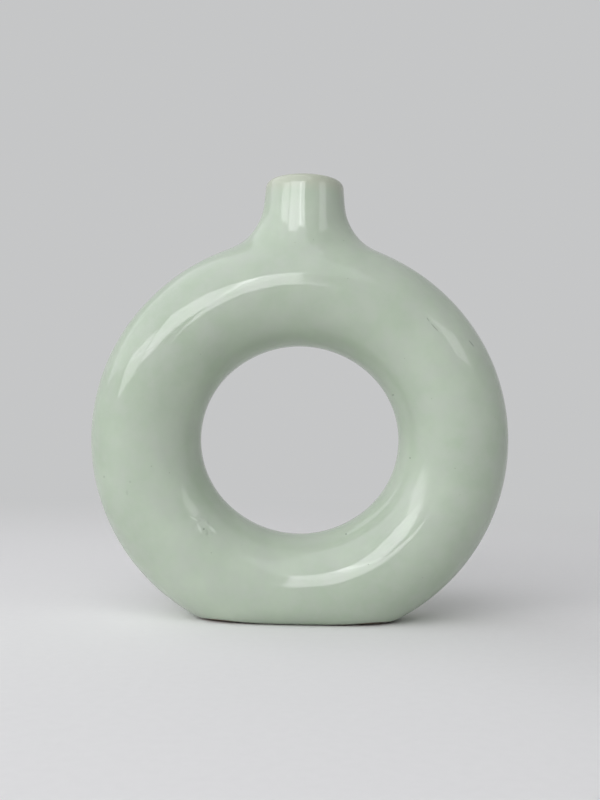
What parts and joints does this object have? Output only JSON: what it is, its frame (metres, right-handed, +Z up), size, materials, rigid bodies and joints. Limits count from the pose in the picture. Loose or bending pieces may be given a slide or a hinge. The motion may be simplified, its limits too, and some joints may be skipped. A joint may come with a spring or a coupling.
{
  "type": "donut vase",
  "caption": "Ceramic donut vase: a hollow ring standing on edge on a flat oval foot, with a short open neck on top, glazed inside and out.",
  "frame": {"origin": "middle of the foot, on the table", "axes": "+Z up through the neck, the ring's hole along Y, the ring's width along X"},
  "size_m": [0.2, 0.0524, 0.2097],
  "materials": {
    "bare_clay": "fired bare dark stoneware, matt",
    "outer_glaze": "glossy sage green celadon glaze, slightly wavy",
    "liner_glaze": "glossy sage green liner glaze"
  },
  "bodies": {
    "root": {"clay_body": "bare_clay", "outer_glaze": "outer_glaze", "liner_glaze": "liner_glaze"}
  },
  "joints": []
}
